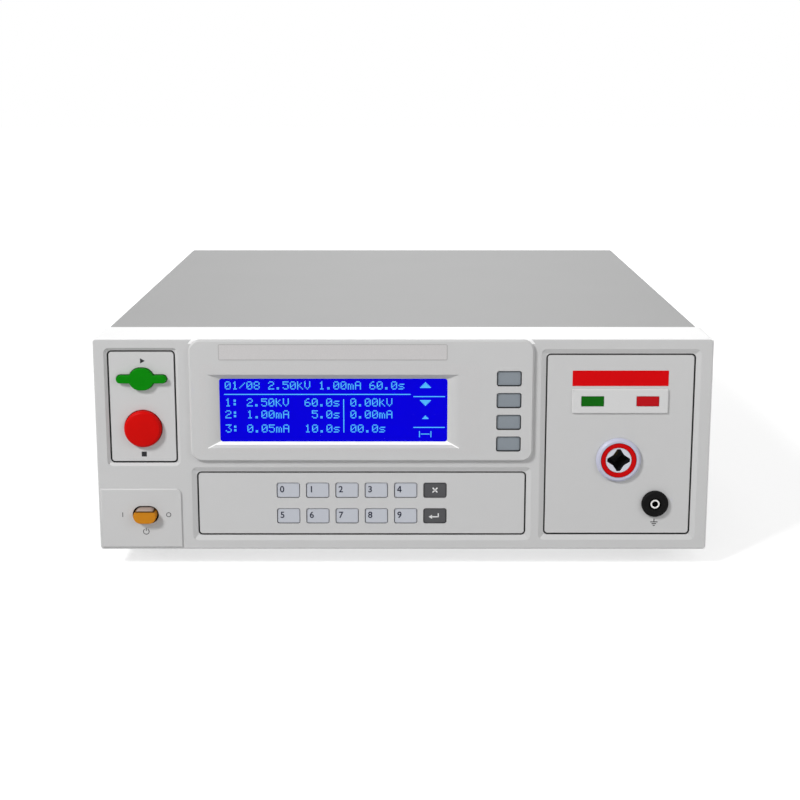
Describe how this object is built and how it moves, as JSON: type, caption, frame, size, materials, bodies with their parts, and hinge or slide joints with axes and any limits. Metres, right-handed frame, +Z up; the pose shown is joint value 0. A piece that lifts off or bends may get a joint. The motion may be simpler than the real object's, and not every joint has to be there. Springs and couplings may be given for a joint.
{
  "type": "hipot tester",
  "caption": "Benchtop high-voltage withstand tester with a screen, keypad, start and stop buttons, lamps and output sockets in a moulded front on a sheet-metal case.",
  "frame": {"origin": "under the middle of the instrument's box, on the surface it stands on", "axes": "+X to the right seen from the front, +Y from the front face to the back, +Z up"},
  "size_m": [0.43, 0.45, 0.167],
  "materials": {
    "bezel_plastic": "fine moulded texture",
    "panel_plastic": "satin",
    "plate_paint": "satin paint",
    "screen_window": "clear",
    "screen_blue": "lit blue screen",
    "circuit_board": "solder mask",
    "soft_key_grey": "satin",
    "key_white": "satin",
    "key_dark": "satin",
    "start_green": "satin",
    "stop_red": "satin",
    "power_orange": "satin",
    "switch_black": "moulded",
    "lamp_frame_white": "moulded",
    "lamp_green": "clear tinted",
    "lamp_red": "clear tinted",
    "socket_pale": "satin",
    "socket_red": "satin",
    "socket_core": "satin",
    "contact_brass": "turned",
    "socket_black": "moulded",
    "contact_nickel": "nickel plated",
    "chassis_steel": "zinc plated",
    "cover_paint": "fine textured paint",
    "foot_plastic": "moulded",
    "screw_steel": "zinc plated",
    "core_steel": "varnished laminations",
    "coil_copper": "varnished wire under tape",
    "toroid_wrap": "tape wrapped",
    "sink_aluminium": "black anodised",
    "fan_black": "moulded",
    "guard_wire": "plated wire",
    "port_shell": "tin plated"
  },
  "bodies": {
    "case": {"front_bezel": "bezel_plastic", "start_stop_plate": "plate_paint", "power_plate": "panel_plastic", "keypad_plate": "plate_paint", "output_plate": "plate_paint", "display_bezel": "panel_plastic", "lcd_lens": "screen_window", "lcd_module": "screen_blue", "display_board": "circuit_board", "key_board": "circuit_board", "push_switches": "switch_black", "power_switch": "switch_black", "lamp_frame": "lamp_frame_white", "green_lamp": "lamp_green", "red_lamp": "lamp_red", "lamp_board": "circuit_board", "hv_socket_flange": "socket_pale", "hv_socket_ring": "socket_red", "hv_socket_core": "socket_core", "hv_contact": "contact_brass", "return_socket": "socket_black", "return_contact": "contact_nickel", "chassis": "chassis_steel", "rear_panel": "cover_paint", "top_cover": "cover_paint", "feet": "foot_plastic", "case_screws": "screw_steel", "hv_core": "core_steel", "hv_coil": "coil_copper", "mains_transformer": "toroid_wrap", "control_board": "circuit_board", "heat_sink": "sink_aluminium", "fan_frame": "fan_black", "fan_guard": "guard_wire", "mains_inlet": "socket_black", "inlet_pins": "contact_brass", "serial_port": "port_shell"},
    "soft_key_1": {"soft_key_1": "soft_key_grey"},
    "soft_key_2": {"soft_key_2": "soft_key_grey"},
    "soft_key_3": {"soft_key_3": "soft_key_grey"},
    "soft_key_4": {"soft_key_4": "soft_key_grey"},
    "number_key_0": {"number_key_0": "key_white"},
    "number_key_1": {"number_key_1": "key_white"},
    "number_key_2": {"number_key_2": "key_white"},
    "number_key_3": {"number_key_3": "key_white"},
    "number_key_4": {"number_key_4": "key_white"},
    "number_key_5": {"number_key_5": "key_white"},
    "number_key_6": {"number_key_6": "key_white"},
    "number_key_7": {"number_key_7": "key_white"},
    "number_key_8": {"number_key_8": "key_white"},
    "number_key_9": {"number_key_9": "key_white"},
    "cancel_key": {"cancel_key": "key_dark"},
    "enter_key": {"enter_key": "key_dark"},
    "start_button": {"start_button": "start_green"},
    "stop_button": {"stop_button": "stop_red"},
    "power_button": {"power_button": "power_orange"},
    "fan_rotor": {"fan_rotor": "fan_black"},
    "tilt_leg_left": {"tilt_leg_left": "foot_plastic"},
    "tilt_leg_right": {"tilt_leg_right": "foot_plastic"}
  },
  "joints": [
    {"name": "soft_key_1_press", "type": "slide", "parent": "case", "child": "soft_key_1", "axis": [0, 1, 0], "range_m": [0, 0.0012], "stiffness_N_per_m": 600},
    {"name": "soft_key_2_press", "type": "slide", "parent": "case", "child": "soft_key_2", "axis": [0, 1, 0], "range_m": [0, 0.0012], "stiffness_N_per_m": 600},
    {"name": "soft_key_3_press", "type": "slide", "parent": "case", "child": "soft_key_3", "axis": [0, 1, 0], "range_m": [0, 0.0012], "stiffness_N_per_m": 600},
    {"name": "soft_key_4_press", "type": "slide", "parent": "case", "child": "soft_key_4", "axis": [0, 1, 0], "range_m": [0, 0.0012], "stiffness_N_per_m": 600},
    {"name": "number_key_0_press", "type": "slide", "parent": "case", "child": "number_key_0", "axis": [0, 1, 0], "range_m": [0, 0.0012], "stiffness_N_per_m": 600},
    {"name": "number_key_1_press", "type": "slide", "parent": "case", "child": "number_key_1", "axis": [0, 1, 0], "range_m": [0, 0.0012], "stiffness_N_per_m": 600},
    {"name": "number_key_2_press", "type": "slide", "parent": "case", "child": "number_key_2", "axis": [0, 1, 0], "range_m": [0, 0.0012], "stiffness_N_per_m": 600},
    {"name": "number_key_3_press", "type": "slide", "parent": "case", "child": "number_key_3", "axis": [0, 1, 0], "range_m": [0, 0.0012], "stiffness_N_per_m": 600},
    {"name": "number_key_4_press", "type": "slide", "parent": "case", "child": "number_key_4", "axis": [0, 1, 0], "range_m": [0, 0.0012], "stiffness_N_per_m": 600},
    {"name": "number_key_5_press", "type": "slide", "parent": "case", "child": "number_key_5", "axis": [0, 1, 0], "range_m": [0, 0.0012], "stiffness_N_per_m": 600},
    {"name": "number_key_6_press", "type": "slide", "parent": "case", "child": "number_key_6", "axis": [0, 1, 0], "range_m": [0, 0.0012], "stiffness_N_per_m": 600},
    {"name": "number_key_7_press", "type": "slide", "parent": "case", "child": "number_key_7", "axis": [0, 1, 0], "range_m": [0, 0.0012], "stiffness_N_per_m": 600},
    {"name": "number_key_8_press", "type": "slide", "parent": "case", "child": "number_key_8", "axis": [0, 1, 0], "range_m": [0, 0.0012], "stiffness_N_per_m": 600},
    {"name": "number_key_9_press", "type": "slide", "parent": "case", "child": "number_key_9", "axis": [0, 1, 0], "range_m": [0, 0.0012], "stiffness_N_per_m": 600},
    {"name": "cancel_key_press", "type": "slide", "parent": "case", "child": "cancel_key", "axis": [0, 1, 0], "range_m": [0, 0.0012], "stiffness_N_per_m": 600},
    {"name": "enter_key_press", "type": "slide", "parent": "case", "child": "enter_key", "axis": [0, 1, 0], "range_m": [0, 0.0012], "stiffness_N_per_m": 600},
    {"name": "start_button_press", "type": "slide", "parent": "case", "child": "start_button", "axis": [0, 1, 0], "range_m": [0, 0.0025], "stiffness_N_per_m": 800},
    {"name": "stop_button_press", "type": "slide", "parent": "case", "child": "stop_button", "axis": [0, 1, 0], "range_m": [0, 0.003], "stiffness_N_per_m": 800},
    {"name": "power_button_press", "type": "slide", "parent": "case", "child": "power_button", "axis": [0, 1, 0], "range_m": [0, 0.003], "stiffness_N_per_m": 900},
    {"name": "fan_spin", "type": "hinge", "parent": "case", "child": "fan_rotor", "pos_m": [0.095, 0.2053, 0.088], "axis": [0, 1, 0], "continuous": true},
    {"name": "tilt_leg_left_fold", "type": "hinge", "parent": "case", "child": "tilt_leg_left", "pos_m": [-0.175, -0.162, 0.005], "axis": [-1, 0, 0], "range_deg": [0, 100]},
    {"name": "tilt_leg_right_fold", "type": "hinge", "parent": "case", "child": "tilt_leg_right", "pos_m": [0.175, -0.162, 0.005], "axis": [-1, 0, 0], "range_deg": [0, 100]}
  ]
}
